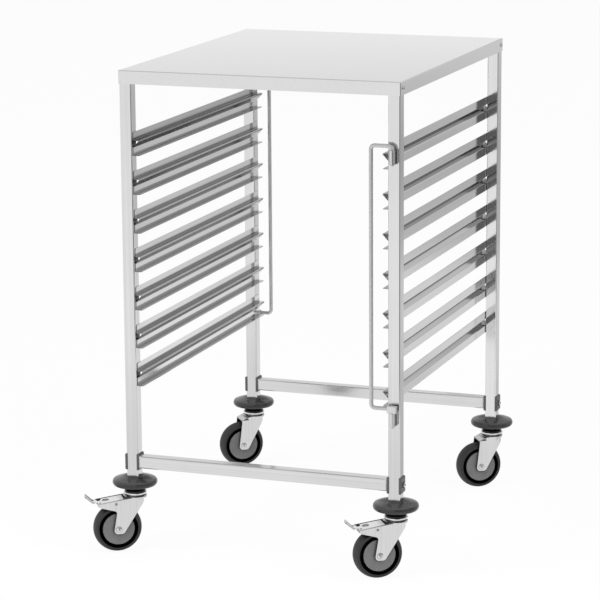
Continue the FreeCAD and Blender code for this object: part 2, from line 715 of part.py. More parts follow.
def brake_pin():
    """A rivet with a head on each side of the fork."""
    x, z = pedal_pivot()
    half = FORK_WIDTH / 2
    end = half + PEDAL_PIN_HEAD_HEIGHT
    pin = across(PEDAL_PIN_RADIUS, -end, end, x, z)
    heads = [across(PEDAL_PIN_HEAD, half, end, x, z), across(PEDAL_PIN_HEAD, -end, -half, x, z)]
    return pin.fuse(heads).removeSplitter()


def under_plate(start, end, bottom, half):
    """A block from a level up to the middle of the pedal's sloping plate."""
    sink = PEDAL_SINK + PEDAL_SHEET / 2
    return slab([(start, bottom), (end, bottom), (end, skirt_top(end) - sink),
                 (start, skirt_top(start) - sink)], half)


def tongue():
    """The raised end of the pedal, a bent strip with a rounded tip."""
    start = SKIRT_END - PEDAL_SHEET
    level = skirt_top(start) - PEDAL_SINK
    bend = SKIRT_END + TONGUE_FLAT
    tip = bend + TONGUE_LENGTH
    route = ((start, level), (bend, level), (tip, level + TONGUE_LIFT))
    points = [V(x, -TONGUE_HALF, z) for x, z in route]
    bent = strip(points, TONGUE_BEND, PEDAL_SHEET, V(0, 2 * TONGUE_HALF, 0))
    plan = [(V(0, -TONGUE_HALF, 0), 0), (V(tip, -TONGUE_HALF, 0), TONGUE_ROUND),
            (V(tip, TONGUE_HALF, 0), TONGUE_ROUND), (V(0, TONGUE_HALF, 0), 0)]
    return bent.common(prism(plan, V(0, 0, POST_BOTTOM)))


def brake_pedal():
    """A plate between the skirts with two ears on the pin, a pad over the tyre and a raised tongue."""
    x, z = pedal_pivot()
    half = FORK_WIDTH / 2 - FORK_SHEET - PEDAL_SIDE_GAP
    front = CROWN_RADIUS + PEDAL_FRONT_GAP
    ends = [(front, skirt_top(front) - PEDAL_SINK), (SKIRT_END, skirt_top(SKIRT_END) - PEDAL_SINK)]
    plate = slab(ends + [(end, top - PEDAL_SHEET) for end, top in ends[::-1]], half)
    ear = across(PEDAL_EAR, -half, half, x, z).fuse(under_plate(x - PEDAL_EAR, x + PEDAL_EAR, z, half))
    gap = half - PEDAL_SHEET
    ear = ear.cut(block((0, -gap, 0), (SKIRT_END, gap, FORK_TOP)))
    pad_start = x + PAD_AHEAD
    pad = under_plate(pad_start, pad_start + PAD_LENGTH, TYRE_TOP + PAD_CLEARANCE, PAD_HALF)
    pedal = plate.fuse([ear, pad, tongue()]).removeSplitter()
    holes = [across(PEDAL_PIN_RADIUS + PEDAL_RUNNING_FIT, -half, half, x, z)]
    for side in SIDES.values():
        place = V(SKIRT_END - PEDAL_HOLE_INSET, side * (half - PEDAL_HOLE_INSET), TYRE_TOP)
        holes.append(Part.makeCylinder(PEDAL_HOLE_RADIUS, FORK_HEADROOM, place))
    return pedal.cut(holes)


def casters():
    """Four swivel casters under the posts; the front two have brakes."""
    shared = {"caster_stems": stem(), "stem_expanders": expander(), "swivel_cups": swivel_cup(),
              "swivel_seals": swivel_seal()}
    copies = {name: [] for name in shared}
    disc = bumper()
    turning = {"axle": axle(), "hub": hub(), "tyre": tyre()}
    brake = {"brake_pin": brake_pin(), "brake_pedal": brake_pedal()}
    nodes = {}
    for end, sy in ENDS.items():
        for side, sx in SIDES.items():
            corner = "%s_%s" % (end, side)
            x, y = sx * POST_X, sy * POST_Y
            for name, shape in shared.items():
                copies[name].append(placed(shape, 0, x, y))
            nodes["bumper_" + corner] = placed(disc, 0, x, y)
            braked = corner in BRAKED
            trail = BRAKED_TRAIL if braked else PLAIN_TRAIL
            pieces = {name: placed(shape, 0, trail, 0) for name, shape in turning.items()}
            pieces["fork"] = fork(braked)
            if braked:
                pieces.update(brake)
            for name, shape in pieces.items():
                nodes["%s_%s" % (name, corner)] = placed(shape, 180 + TRAIL_ANGLES[corner], x, y)
    for name, shapes in copies.items():
        nodes[name] = group(shapes)
    return nodes


def main():
    """Build every node and write each to its own file."""
    os.makedirs("parts", exist_ok=True)
    nodes = {}
    for make in (posts, worktop, tray_rails, cross_rails, swing_bars, casters):
        nodes.update(make())
    for name, shape in sorted(nodes.items()):
        if not shape.isValid():
            print("not valid:", name)
        shape.exportStep("parts/%s.step" % name)
    volume = sum(shape.Volume for shape in nodes.values())
    print("%d nodes, worktop at %.1f mm, %.0f cubic centimetres" % (len(nodes), WORKTOP, volume / 1000))


main()
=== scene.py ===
import json
import math

import bmesh
import bpy
from mathutils import Matrix, Vector


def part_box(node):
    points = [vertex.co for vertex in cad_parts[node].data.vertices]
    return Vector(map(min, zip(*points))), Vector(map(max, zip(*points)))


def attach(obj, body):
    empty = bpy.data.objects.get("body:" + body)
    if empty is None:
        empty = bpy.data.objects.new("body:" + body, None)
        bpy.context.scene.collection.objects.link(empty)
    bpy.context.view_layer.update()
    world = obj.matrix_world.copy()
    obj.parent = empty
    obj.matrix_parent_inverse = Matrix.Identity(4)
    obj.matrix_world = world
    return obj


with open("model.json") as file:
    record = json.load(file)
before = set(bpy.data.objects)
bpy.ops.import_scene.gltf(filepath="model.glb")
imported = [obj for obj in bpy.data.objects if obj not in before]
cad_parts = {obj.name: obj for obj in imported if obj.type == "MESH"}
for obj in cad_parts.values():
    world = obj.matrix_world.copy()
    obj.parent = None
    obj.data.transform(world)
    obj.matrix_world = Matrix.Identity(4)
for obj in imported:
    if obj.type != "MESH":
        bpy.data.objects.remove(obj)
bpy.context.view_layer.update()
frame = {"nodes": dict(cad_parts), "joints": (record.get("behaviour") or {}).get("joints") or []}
nodes = frame["nodes"]
joints = {joint["name"]: joint for joint in frame["joints"]}

# Camera at the photographed view, for a square picture: metres, degrees and millimetres
CAMERA_PLACE = (1.93682, -5.47327, 1.73973)
CAMERA_YAW = 19.8849
CAMERA_PITCH = 12.3203
CAMERA_ROLL = -0.3915
CAMERA_LENS = 169.638
SENSOR_WIDTH = 36.0

# Names of the repeated pieces
CORNERS = ("front_left", "front_right", "rear_left", "rear_right")
BRAKED = ("front_left", "front_right")
ENDS = ("front", "rear")
LEVELS = range(1, 8)

# Directions and the plain colour
ACROSS = (1.0, 0.0, 0.0)
ALONG = (0.0, 1.0, 0.0)
UP = (0.0, 0.0, 1.0)
DOWN = (0.0, 0.0, -1.0)
WHITE = (1.0, 1.0, 1.0, 1.0)

# Sizes of the rails, wheels and brakes, in metres
RAIL_HEIGHT = 0.048
WHEEL_RADIUS = 0.05
DISC_RADIUS = 0.0328
GROOVE_RADIUS = 0.0405
RING_SOFTNESS = 0.0003
AXLE_HEAD_RADIUS = 0.0063
TONGUE_START = 0.086
TONGUE_FADE = 0.004

# Metal finishes: light and dark tone, roughness, and the axis that the grain runs along
WORKTOP_FINISH = (0.75, 0.71, 0.08, "Y")
POST_FINISH = (0.76, 0.67, 0.11, "Z")
# A lighter copy of the post steel for the rear right post, painted light
REAR_POST_LIT_FINISH = (0.78, 0.70, 0.11, "Z")
RAIL_FINISH = (0.76, 0.70, 0.09, "Y")
CROSS_FINISH = (0.72, 0.63, 0.12, "X")
SCREW_FINISH = (0.60, 0.50, 0.25, "Z")
TIE_FINISH = (0.80, 0.70, 0.25, "Z")
BAR_FINISH = (0.72, 0.62, 0.55, "Z")
SLEEVE_FINISH = (0.74, 0.62, 0.32, "Z")
STEM_FINISH = (0.72, 0.62, 0.25, "Z")
CUP_FINISH = (0.82, 0.76, 0.08, "Z")
FORK_FINISH = (0.72, 0.61, 0.17, "Z")
BOLT_FINISH = (0.80, 0.72, 0.15, "Z")
# A lighter copy of the fork zinc for the pedals, painted light
PEDAL_LIT_FINISH = (0.92, 0.84, 0.2, "Z")
RIVET_FINISH = (0.34, 0.26, 0.3, "Z")
# A darker copy of the pedal zinc on its pressed ridge, painted shade
RIDGE_SHADE_FINISH = (0.62, 0.52, 0.3, "Z")
RIM_FINISH = (0.76, 0.66, 0.5, "Z")

# Moulded finishes: light and dark tone, roughness, pebbles in a metre, their depth in metres, and gloss
SADDLE_FINISH = (0.10, 0.085, 0.45, 2200.0, 0.00008, 0.5)
PLUG_FINISH = (0.62, 0.56, 0.4, 2200.0, 0.00008, 0.5)
BUMPER_FINISH = (0.042, 0.036, 0.2, 1500.0, 0.0001, 1.0)
SEAL_FINISH = (0.014, 0.010, 0.3, 1500.0, 0.0001, 0.5)
# Near-black rubber for the pedal pieces that stand in for shade
SHADE_PIECE_FINISH = (0.016, 0.012, 0.5, 1500.0, 0.0001, 0.2)

# Wheel finishes: light and dark tone, and roughness
HUB_FINISH = (0.21, 0.15, 0.5)
TYRE_FINISH = (0.038, 0.028, 0.6)

# Noise: cycles in a metre along and across the grain, or each way, and its detail
LINE_GRAIN = (9.0, 1400.0)
STREAK_GRAIN = (1.5, 260.0)
GRAIN_DETAIL = 2.0
STEEL_CLOUD = (7.0, 4.0)
MOULDED_CLOUD = (24.0, 5.0)
WHEEL_CLOUD = (60.0, 5.0)
WHEEL_SKIN = (900.0, 3.0)
PEBBLE_DETAIL = 4.0
NOISE_LOW = 0.3
NOISE_HIGH = 0.7

# How the noise shows: its shares, the spread of roughness and gloss, and the relief's strength and depth
STREAK_SHARE = 0.6
SKIN_SHARE = 0.5
STEEL_SPREAD = (0.8, 1.25)
MOULDED_SPREAD = (0.85, 1.2)
WHEEL_SPREAD = (0.85, 1.15)
GLOSS_DIP = 0.9
WHEEL_GLOSS = 0.3
LINE_RELIEF = (0.03, 0.0001)
PEBBLE_STRENGTH = 0.25
WHEEL_RELIEF = (0.3, 0.00015)

# Corner shading: reach in metres, how far it darkens, and the openness where it is full and where it ends
NARROW = (0.006, 0.85, 0.15, 0.75)
FOLDED = (0.010, 0.75, 0.25, 0.85)
SHALLOW = (0.010, 0.45, 0.25, 0.85)
HOLLOW = (0.03, 0.9, 0.2, 0.75)
SHELTERED = (0.02, 0.9, 0.3, 0.95)
CORNER_SAMPLES = 8

# Marks, most of them painted shade: the tone at the start and at the end, and the measure where each is
# reached
CUT_EDGE_SHADE_SPAN = (0.35, 1.0, 0.45, 0.75)
TONGUE_SPAN = (1.0, 0.55, TONGUE_START, TONGUE_START + TONGUE_FADE)
SHELF_SHADE_SPAN = (1.0, 0.35, 0.8, 0.95)
RAIL_END_SHADE_SPAN = (1.0, 0.4, 0.6, 0.8)
POST_FOOT_SPAN = (0.88, 1.0, 0.2, 0.45)
POST_SIDE_SHADE_SPAN = (1.0, 0.87, 0.8, 0.95)
SCREW_FLANK_SHADE_SPAN = (0.1, 1.0, 0.55, 0.9)
SLEEVE_SIDE_SHADE_SPAN = (1.0, 0.25, 0.85, 0.97)
BUMPER_POST_SHADE_SPAN = (0.1, 1.0, 0.74, 0.96)
BUMPER_POST_SHADE_REACH = 0.025
BUMPER_RIM_SHADE_SPAN = (0.5, 1.0, 0.1, 0.8)

# Painted shade and reflections in bands down a rail: the depth below its top edge in metres, the band,
# and a share of the band's shade
INSIDE_BANDS = (
    (0.0, "edge", 1.0),
    (0.0008, "lip", 1.0),
    (0.0085, "lip", 1.0),
    (0.0115, "lip", 0.7),
    (0.0160, "lip", 0.7),
    (0.0166, "ledge", 1.0),
    (0.0174, "ledge", 1.0),
    (0.0178, "bead", 0.9),
    (0.0188, "under", 1.0),
    (0.0300, "under", 1.0),
    (0.0310, "face", 1.0),
    (0.0455, "face", 1.0),
    (0.0470, "shelf", 1.0),
)
OUTSIDE_BANDS = (
    (0.0, "face", 1.0),
    (0.0236, "face", 1.0),
    (0.0248, "hollow", 1.0),
    (0.0286, "hollow", 1.0),
    (0.0298, "bead", 0.85),
    (0.0325, "face", 1.0),
)

# Painted shades of those bands from the top level down, where the last ones serve all lower levels
INSIDE_SHADES = (
    {"lip": 0.74, "ledge": 0.35, "under": 0.08, "shelf": 0.45},
    {"lip": 0.86, "ledge": 0.75, "under": 0.12, "shelf": 0.55},
    {"lip": 0.98, "ledge": 0.85, "under": 0.2, "shelf": 0.64},
    {"lip": 0.98, "ledge": 0.85, "under": 0.2, "shelf": 0.7},
)
OUTSIDE_SHADES = (
    {"hollow": 0.29},
    {"hollow": 0.31},
    {"hollow": 0.36},
    {"hollow": 0.85},
)

# Painted shade in rings round an axle: a share of the bolt head's radius, or a radius in metres, and the
# tone there
BOLT_SHADE_TONES = (
    (0.0, 0.3),
    (0.15, 0.35),
    (0.2, 1.0),
    (0.42, 1.0),
    (0.48, 0.35),
    (0.55, 1.0),
    (0.82, 1.0),
    (0.9, 0.25),
)
# Painted shade in the groove between the hub's disc and the tyre
HUB_GROOVE_SHADE = ((0.0, 1.0), (DISC_RADIUS, 1.0), (DISC_RADIUS + RING_SOFTNESS, 0.04))
TYRE_GROOVE_SHADE = ((0.0, 0.03), (GROOVE_RADIUS - RING_SOFTNESS, 0.03), (GROOVE_RADIUS + RING_SOFTNESS, 1.0))

# Details of the brake pedals, in metres from the swivel along the trail, across it and above the plate
PLATE_MIDDLE = 0.060
RIDGE_PLACE = (0.062, -0.003)
RIDGE_HALF_LENGTH = 0.0075
RIDGE_HALF_WIDTH = 0.0060
RIDGE_RADIUS = 0.0010
SHADE_SPOT_PLACE = (0.0755, -0.0122)
SHADE_SPOT_PROFILE = (
    (0.0010, 0.0004),
    (0.0018, 0.0005),
    (0.0026, 0.0012),
    (0.0040, 0.0012),
    (0.0048, 0.0006),
    (0.0048, 0.0),
)
RIM_START = 0.0840
RIM_TURN = 0.0968
RIM_HALF = 0.0108
RIM_ROUND = 0.0078
RIM_HEIGHT = 0.0045
RIM_ROOT_SHARE = 0.2
RIM_WALL = 0.0013
RIM_SINK = 0.0003
BLOCK_PLACE = (0.0772, 0.0)
BLOCK_SECTION = (
    (-0.0040, -0.0015),
    (0.0030, -0.0015),
    (0.0036, -0.0022),
    (0.0030, -0.0066),
    (0.0022, -0.0075),
    (-0.0030, -0.0075),
    (-0.0040, -0.0066),
)
BLOCK_HALF = 0.0165
BLOCK_EDGE = 0.0012

# Steps round their curves, and the height in metres from which a pedal's upper face is looked for
ROUND_STEPS = 40
RIDGE_STEPS = 8
RIM_STEPS = 12
LOOKOUT_HEIGHT = 1.0

# Floor and room, where a height is the upward part of a direction
FLOOR_SIZE = 60.0
FLOOR_TONE = 0.92
FLOOR_WHITENESS = 0.94
ROOM_LIGHT = 0.55
ROOM_TONES = (
    (0.0, 1.0),
    (0.112, 1.0),
    (0.125, 0.93),
    (0.14, 0.78),
    (0.17, 0.78),
    (0.25, 0.86),
    (0.4, 0.85),
    (0.6, 0.6),
    (1.0, 0.75),
)

# Boards that only polished surfaces show: their edges in metres, and the tone at each height
BOARD_TOP = 2.4
LOW_TOP = 1.0
REAR_Y = 1.25
REAR_LEFT_X = -0.1
UPPER_LEFT_X = 0.04
REAR_MIDDLE_X = 0.42
REAR_RIGHT_X = 2.4
CARD_FRONT_Y = 0.3
CARD_RIGHT_X = 1.3
CARD_HEIGHT = 0.002
FRONT_START = (0.5, -1.9)
FRONT_END = (1.5, -1.2)
SIDE_END = (1.5, 0.5)
SIDE_TOP = 0.9
LEFT_TONES = (
    (0.0, 1.0),
    (0.12, 0.92),
    (0.3, 0.76),
    (0.5, 0.67),
    (0.75, 0.56),
    (1.0, 0.50),
    (1.2, 0.66),
    (1.6, 0.75),
)
RIGHT_TONES = (
    (0.0, 0.72),
    (0.1, 0.80),
    (0.25, 0.79),
    (0.37, 0.58),
    (0.6, 0.52),
    (0.72, 0.60),
    (0.85, 0.72),
    (0.96, 0.70),
    (1.2, 0.72),
    (1.6, 0.75),
)
CARD_TONES = ((0.0, 0.70), (BOARD_TOP, 0.70))
SIDE_TONES = ((0.0, 0.45), (BOARD_TOP, 0.45))
FRONT_TONES = ((0.0, 0.15), (0.9, 0.15), (1.3, 0.5), (BOARD_TOP, 0.85))

# Lamps: place and size in metres, and power in watts
LAMP_AIM = (0.0, 0.0, 0.5)
KEY_PLACE = (-2.2, -3.0, 3.6)
KEY_SIZE = 2.4
KEY_POWER = 130.0
FILL_PLACE = (3.0, -1.0, 2.6)
FILL_SIZE = 2.0
FILL_POWER = 50.0


# Shader building

def grey(value):
    """A neutral colour."""
    return (value, value, value, 1.0)


def new_material(name):
    """A node material and its tree and principled shader."""
    material = bpy.data.materials.new(name)
    material.use_nodes = True
    tree = material.node_tree
    return material, tree, tree.nodes["Principled BSDF"]


def surface_place(tree, output):
    """The surface's place in its object's metres, or another of its coordinates."""
    return tree.nodes.new("ShaderNodeTexCoord").outputs[output]


def noise(tree, scales, detail):
    """Noise in the object's own metres, with one scale per axis."""
    mapping = tree.nodes.new("ShaderNodeMapping")
    mapping.inputs["Scale"].default_value = scales
    tree.links.new(surface_place(tree, "Object"), mapping.inputs["Vector"])
    texture = tree.nodes.new("ShaderNodeTexNoise")
    texture.inputs["Scale"].default_value = 1.0
    texture.inputs["Detail"].default_value = detail
    tree.links.new(mapping.outputs["Vector"], texture.inputs["Vector"])
    return texture.outputs["Fac"]


def even_noise(tree, scale, detail):
    """Noise with one scale on all axes."""
    return noise(tree, (scale, scale, scale), detail)


def along_grain(tree, grain, along, across):
    """Noise drawn out along one axis."""
    return noise(tree, tuple(along if axis == grain else across for axis in "XYZ"), GRAIN_DETAIL)


def ranged(tree, value, low, high, start=NOISE_LOW, end=NOISE_HIGH):
    """A value that goes from low to high while another goes from its start to its end."""
    node = tree.nodes.new("ShaderNodeMapRange")
    node.inputs["From Min"].default_value = start
    node.inputs["From Max"].default_value = end
    node.inputs["To Min"].default_value = low
    node.inputs["To Max"].default_value = high
    tree.links.new(value, node.inputs["Value"])
    return node.outputs["Result"]


def graded(tree, value, tones):
    """A grey that follows a value from stop to stop, between zero and one."""
    ramp = tree.nodes.new("ShaderNodeValToRGB")
    stops = ramp.color_ramp.elements
    while len(stops) < len(tones):
        stops.new(1.0)
    for stop, (position, tone) in zip(stops, tones):
        stop.position = position
        stop.color = grey(tone)
    tree.links.new(value, ramp.inputs["Fac"])
    return ramp.outputs["Color"]


def tinted(tree, value, dark, light):
    """A grey between a dark and a light one."""
    return graded(tree, value, ((NOISE_LOW, dark), (NOISE_HIGH, light)))


def mixed(tree, first, second, share):
    """A value between two values, at a fixed share of the second."""
    node = tree.nodes.new("ShaderNodeMix")
    node.inputs["Factor"].default_value = share
    tree.links.new(first, node.inputs["A"])
    tree.links.new(second, node.inputs["B"])
    return node.outputs["Result"]


def times(tree, colour, other):
    """One colour multiplied by another."""
    mix = tree.nodes.new("ShaderNodeMix")
    mix.data_type = "RGBA"
    mix.blend_type = "MULTIPLY"
    mix.inputs["Factor"].default_value = 1.0
    tree.links.new(colour, mix.inputs["A"])
    tree.links.new(other, mix.inputs["B"])
    return mix.outputs["Result"]


def vector_step(tree, operation, vector, other=None):
    """One vector operation, with a fixed second vector."""
    node = tree.nodes.new("ShaderNodeVectorMath")
    node.operation = operation
    tree.links.new(vector, node.inputs[0])
    if other is not None:
        node.inputs[1].default_value = other
    return node


def line_distance(tree, point, way):
    """How far the surface lies from a line through a point, in metres."""
    offset = vector_step(tree, "SUBTRACT", surface_place(tree, "Object"), point)
    turned = vector_step(tree, "CROSS_PRODUCT", offset.outputs["Vector"], way)
    return vector_step(tree, "LENGTH", turned.outputs["Vector"]).outputs["Value"]


def height_of(tree, output):
    """The upward part of a place or a direction."""
    parts = tree.nodes.new("ShaderNodeSeparateXYZ")
    tree.links.new(surface_place(tree, output), parts.inputs["Vector"])
    return parts.outputs["Z"]


def tilt_towards(tree, way):
    """How squarely the surface faces along a direction, below zero where it faces away."""
    return vector_step(tree, "DOT_PRODUCT", surface_place(tree, "Normal"), way).outputs["Value"]


def facing(tree, way):
    """How squarely the surface faces along a direction, either way."""
    size = tree.nodes.new("ShaderNodeMath")
    size.operation = "ABSOLUTE"
    tree.links.new(tilt_towards(tree, way), size.inputs[0])
    return size.outputs["Value"]


def larger(tree, first, second):
    """The larger of two values."""
    node = tree.nodes.new("ShaderNodeMath")
    node.operation = "MAXIMUM"
    tree.links.new(first, node.inputs[0])
    tree.links.new(second, node.inputs[1])
    return node.outputs["Value"]


def openness(tree, reach):
    """How open the space before the surface is within a reach in metres, from zero to one."""
    corner = tree.nodes.new("ShaderNodeAmbientOcclusion")
    corner.inputs["Distance"].default_value = reach
    corner.samples = CORNER_SAMPLES
    return corner.outputs["AO"]


def shaded_corners(tree, colour, reach, depth, start, end):
    """A colour that darkens where neighbouring surfaces close in."""
    return times(tree, colour, ranged(tree, openness(tree, reach), 1.0 - depth, 1.0, start, end))


def roughened(tree, shader, texture, rough, spread):
    """Roughness that follows a texture, within shares of a middle value."""
    least, most = spread
    tree.links.new(ranged(tree, texture, rough * least, rough * most), shader.inputs["Roughness"])


def bumped(tree, shader, height, strength, distance):
    """A fine relief on the shader's normal."""
    bump = tree.nodes.new("ShaderNodeBump")
    bump.inputs["Strength"].default_value = strength
    bump.inputs["Distance"].default_value = distance
    tree.links.new(height, bump.inputs["Height"])
    tree.links.new(bump.outputs["Normal"], shader.inputs["Normal"])


# Marks: each makes a tone that a material's colour is multiplied by, most of them painted shade

def by_facing(way, span):
    """A tone that changes with how squarely the surface faces along a direction."""
    def mark(tree):
        return ranged(tree, facing(tree, way), *span)
    return mark


# Painted shade on the upward faces of the right rails
shaded_shelf = by_facing(UP, SHELF_SHADE_SPAN)
# Painted shade on the cut ends of the rails, which face along them
shaded_rail_ends = by_facing(ALONG, RAIL_END_SHADE_SPAN)
# Painted shade on the sides of the right posts, which face across
shaded_post_sides = by_facing(ACROSS, POST_SIDE_SHADE_SPAN)
# Painted shade round the flanks of the tie screws' heads, light only where they face across
shaded_screw_flanks = by_facing(ACROSS, SCREW_FLANK_SHADE_SPAN)
# Painted shade on the sides of the bar sleeves and lugs, which face across
shaded_sleeve_sides = by_facing(ACROSS, SLEEVE_SIDE_SHADE_SPAN)


def cut_edge_shade(axle):
    """Darker on the thin cut edges of a pressed piece than on its sides and its top: painted shade, along
    with the duller bare steel of the cut.
    """
    def mark(tree):
        return ranged(tree, larger(tree, facing(tree, axle), facing(tree, UP)), *CUT_EDGE_SHADE_SPAN)
    return mark


def darker_tongue(post):
    """Darker on the tongue of a brake pedal, far from its swivel."""
    def mark(tree):
        return ranged(tree, line_distance(tree, post, UP), *TONGUE_SPAN)
    return mark


def towards_floor(tree):
    """A little darker down the foot of a post."""
    return ranged(tree, height_of(tree, "Object"), *POST_FOOT_SPAN)


def band_tones(bands, shades, level):
    """The depths and tones of the painted bands of a rail on one level."""
    level_shades = shades[min(level, len(shades)) - 1]
    return [(depth, share * level_shades.get(band, 1.0)) for depth, band, share in bands]


def painted_rail_bands(top, tones):
    """Painted shade and reflections in bands along a tray rail, by the depth in metres below its top
    edge.
    """
    def mark(tree):
        share = ranged(tree, height_of(tree, "Object"), 1.0, 0.0, top - RAIL_HEIGHT, top)
        return graded(tree, share, [(depth / RAIL_HEIGHT, tone) for depth, tone in tones])
    return mark


def bolt_ring_shade(centre, axle):
    """Painted shade in rings round the head of an axle bolt."""
    def mark(tree):
        share = ranged(tree, line_distance(tree, centre, axle), 0.0, 1.0, 0.0, AXLE_HEAD_RADIUS)
        return graded(tree, share, BOLT_SHADE_TONES)
    return mark


def shade_beside_post(tree):
    """Painted shade on a bumper near the post that stands on it."""
    return ranged(tree, openness(tree, BUMPER_POST_SHADE_REACH), *BUMPER_POST_SHADE_SPAN)


def shade_under_rim(tree):
    """Painted shade, darker towards the rim and the underside of a bumper."""
    return ranged(tree, tilt_towards(tree, UP), *BUMPER_RIM_SHADE_SPAN)


# Materials

def steel(name, finish, corners=None, marks=()):
    """Ground or plated steel, with fine lines and broader streaks along one axis."""
    light, dark, rough, grain = finish
    material, tree, shader = new_material(name)
    shader.inputs["Metallic"].default_value = 1.0
    lines = along_grain(tree, grain, *LINE_GRAIN)
    streaks = along_grain(tree, grain, *STREAK_GRAIN)
    cloud = even_noise(tree, *STEEL_CLOUD)
    colour = tinted(tree, mixed(tree, cloud, streaks, STREAK_SHARE), dark, light)
    if corners:
        colour = shaded_corners(tree, colour, *corners)
    for mark in marks:
        colour = times(tree, colour, mark(tree))
    tree.links.new(colour, shader.inputs["Base Color"])
    roughened(tree, shader, lines, rough, STEEL_SPREAD)
    bumped(tree, shader, lines, *LINE_RELIEF)
    return material


def moulded(name, finish, marks=()):
    """Moulded plastic or rubber with a fine pebbled skin, where marks of painted shade also take the
    gloss down.
    """
    light, dark, rough, pebble, depth, gloss = finish
    material, tree, shader = new_material(name)
    skin = even_noise(tree, pebble, PEBBLE_DETAIL)
    cloud = even_noise(tree, *MOULDED_CLOUD)
    colour = tinted(tree, cloud, dark, light)
    shine = tinted(tree, cloud, gloss * GLOSS_DIP, gloss)
    for mark in marks:
        tone = mark(tree)
        colour = times(tree, colour, tone)
        shine = times(tree, shine, tone)
    tree.links.new(colour, shader.inputs["Base Color"])
    tree.links.new(shine, shader.inputs["Specular IOR Level"])
    roughened(tree, shader, skin, rough, MOULDED_SPREAD)
    bumped(tree, shader, skin, PEBBLE_STRENGTH, depth)
    return material


def ringed(name, finish, centre, axle, tones):
    """A grained moulding whose painted shade and gloss change with the distance from its axle."""
    light, dark, rough = finish
    material, tree, shader = new_material(name)
    skin = even_noise(tree, *WHEEL_SKIN)
    cloud = even_noise(tree, *WHEEL_CLOUD)
    colour = tinted(tree, mixed(tree, cloud, skin, SKIN_SHARE), dark, light)
    share = ranged(tree, line_distance(tree, centre, axle), 0.0, 1.0, 0.0, WHEEL_RADIUS)
    tone = graded(tree, share, [(radius / WHEEL_RADIUS, tone) for radius, tone in tones])
    colour = shaded_corners(tree, times(tree, colour, tone), *SHELTERED)
    tree.links.new(colour, shader.inputs["Base Color"])
    tree.links.new(ranged(tree, tone, 0.0, WHEEL_GLOSS, 0.0, 1.0), shader.inputs["Specular IOR Level"])
    roughened(tree, shader, skin, rough, WHEEL_SPREAD)
    bumped(tree, shader, skin, *WHEEL_RELIEF)
    return material


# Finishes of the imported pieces

def dress(material, *names):
    """Give CAD nodes one material."""
    for name in names:
        mesh = nodes[name].data
        mesh.materials.clear()
        mesh.materials.append(material)


def dress_posts():
    """The four posts, which show their fronts and right sides."""
    left_post_steel = steel("left_post_steel", POST_FINISH, None, [towards_floor])
    dress(left_post_steel, "post_front_left", "post_rear_left")
    front_post_steel = steel("front_post_steel", POST_FINISH, None, [towards_floor, shaded_post_sides])
    dress(front_post_steel, "post_front_right")
    dress(steel("rear_post_steel", REAR_POST_LIT_FINISH, None, [shaded_post_sides]), "post_rear_right")


def dress_rails():
    """The tray rails, where the left ones show their inside and the right ones their outside."""
    for level in LEVELS:
        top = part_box("rail_left_%d" % level)[1].z
        # Painted shade and reflections in bands down the rails, darker on the upper levels
        inside = painted_rail_bands(top, band_tones(INSIDE_BANDS, INSIDE_SHADES, level))
        outside = painted_rail_bands(top, band_tones(OUTSIDE_BANDS, OUTSIDE_SHADES, level))
        left_steel = steel("rail_steel_left_%d" % level, RAIL_FINISH, FOLDED, [shaded_rail_ends, inside])
        dress(left_steel, "rail_left_%d" % level)
        right_marks = [shaded_rail_ends, shaded_shelf, outside]
        right_steel = steel("rail_steel_right_%d" % level, RAIL_FINISH, SHALLOW, right_marks)
        dress(right_steel, "rail_right_%d" % level)


def dress_frame():
    """The worktop, posts, rails, cross rails and swing bars."""
    dress(steel("worktop_steel", WORKTOP_FINISH), "top_plate")
    dress_posts()
    dress_rails()
    dress(steel("cross_steel", CROSS_FINISH), "cross_rail_front", "cross_rail_rear")
    dress(steel("screw_steel", SCREW_FINISH, NARROW), "top_screws")
    dress(steel("tie_steel", TIE_FINISH, None, [shaded_screw_flanks]), "tie_screws")
    dress(steel("bar_steel", BAR_FINISH), "front_bar", "rear_bar")
    fittings = ["%s_bar_%s" % (end, piece) for end in ENDS for piece in ("lug", "sleeves")]
    dress(steel("sleeve_steel", SLEEVE_FINISH, NARROW, [shaded_sleeve_sides]), *fittings)
    dress(moulded("saddle_plastic", SADDLE_FINISH), "inner_saddles", "outer_saddles")
    dress(moulded("plug_plastic", PLUG_FINISH), "cross_rail_plugs", "stem_expanders")


def dress_caster(corner):
    """The fork, axle, wheel and any brake of one caster."""
    post = joints["swivel_" + corner]["pos_m"]
    centre = joints["roll_" + corner]["pos_m"]
    axle = joints["roll_" + corner]["axis"]
    # Painted shade on the cut edges of the fork and pedal, along with their duller bare steel
    edges = cut_edge_shade(axle)
    rings = bolt_ring_shade(centre, axle)
    dress(steel("fork_zinc_" + corner, FORK_FINISH, HOLLOW, [edges]), "fork_" + corner)
    dress(steel("bolt_zinc_" + corner, BOLT_FINISH, NARROW, [rings]), "axle_" + corner)
    dress(ringed("hub_plastic_" + corner, HUB_FINISH, centre, axle, HUB_GROOVE_SHADE), "hub_" + corner)
    dress(ringed("tyre_rubber_" + corner, TYRE_FINISH, centre, axle, TYRE_GROOVE_SHADE), "tyre_" + corner)
    if corner in BRAKED:
        pedal_zinc = steel("pedal_zinc_" + corner, PEDAL_LIT_FINISH, HOLLOW, [edges, darker_tongue(post)])
        dress(pedal_zinc, "brake_pedal_" + corner)
        dress(steel("rivet_steel_" + corner, RIVET_FINISH, NARROW), "brake_pin_" + corner)


